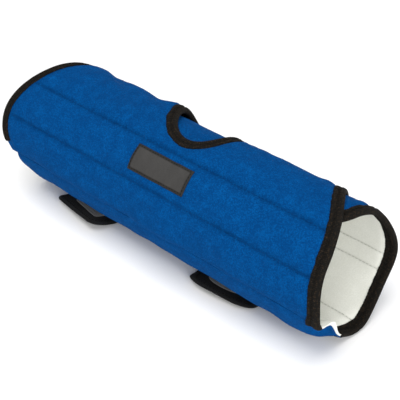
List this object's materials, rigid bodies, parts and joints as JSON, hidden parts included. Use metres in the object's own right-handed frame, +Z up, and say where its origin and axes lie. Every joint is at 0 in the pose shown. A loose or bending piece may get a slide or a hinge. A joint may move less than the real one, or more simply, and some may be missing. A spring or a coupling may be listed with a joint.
{
  "type": "elbow brace",
  "caption": "Padded blue cloth elbow brace rolled into an open tube, with black edge tape, a white lining, an oval elbow opening and hook tabs on straps.",
  "frame": {"origin": "middle of the bounding box, at its base, where the straps rest on the surface", "axes": "+X along the tube towards the end that shows its lining, -Y to the side where the strap tabs come out, +Z up"},
  "size_m": [0.3232, 0.1052, 0.1031],
  "materials": {
    "blue_loop_cloth": "brushed loop nap",
    "white_lining": "soft knit",
    "black_tape": "ribbed knit",
    "label_satin": "woven satin",
    "strap_cloth": "matte weave",
    "hook_tape": "moulded hooks"
  },
  "bodies": {
    "root": {"top_leaf_cover": "blue_loop_cloth", "top_leaf_lining": "white_lining", "lower_leaf_cover": "blue_loop_cloth", "lower_leaf_lining": "white_lining", "top_leaf_binding": "black_tape", "lower_leaf_binding": "black_tape", "opening_binding": "black_tape", "fold_cover": "blue_loop_cloth", "fold_lining": "white_lining", "label_patch": "label_satin", "strap_far": "strap_cloth", "hook_patch_far": "hook_tape", "strap_near": "strap_cloth", "hook_patch_near": "hook_tape"}
  },
  "joints": []
}
